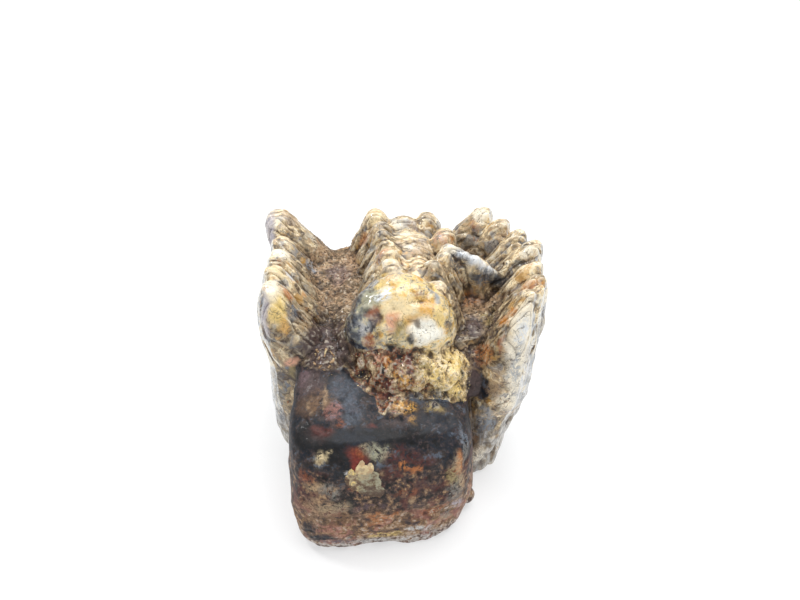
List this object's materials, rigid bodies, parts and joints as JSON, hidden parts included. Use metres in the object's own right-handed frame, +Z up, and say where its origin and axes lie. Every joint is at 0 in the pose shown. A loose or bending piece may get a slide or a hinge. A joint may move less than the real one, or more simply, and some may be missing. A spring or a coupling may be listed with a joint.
{
  "type": "fossil stegodon tooth",
  "caption": "Broken fragment of a fossil molar with tall fluted cusp ridges, deep valleys between them and a blocky root that it stands on.",
  "frame": {"origin": "middle of the bounding box of the footprint, on the flat broken root face", "axes": "+Z up through the cusps, X across the ridges, +Y along the ridges away from the root block that stands out in front"},
  "size_m": [0.0814, 0.0806, 0.0633],
  "materials": {
    "fossil_enamel": "satin"
  },
  "bodies": {
    "root": {"tooth": "fossil_enamel"}
  },
  "joints": []
}
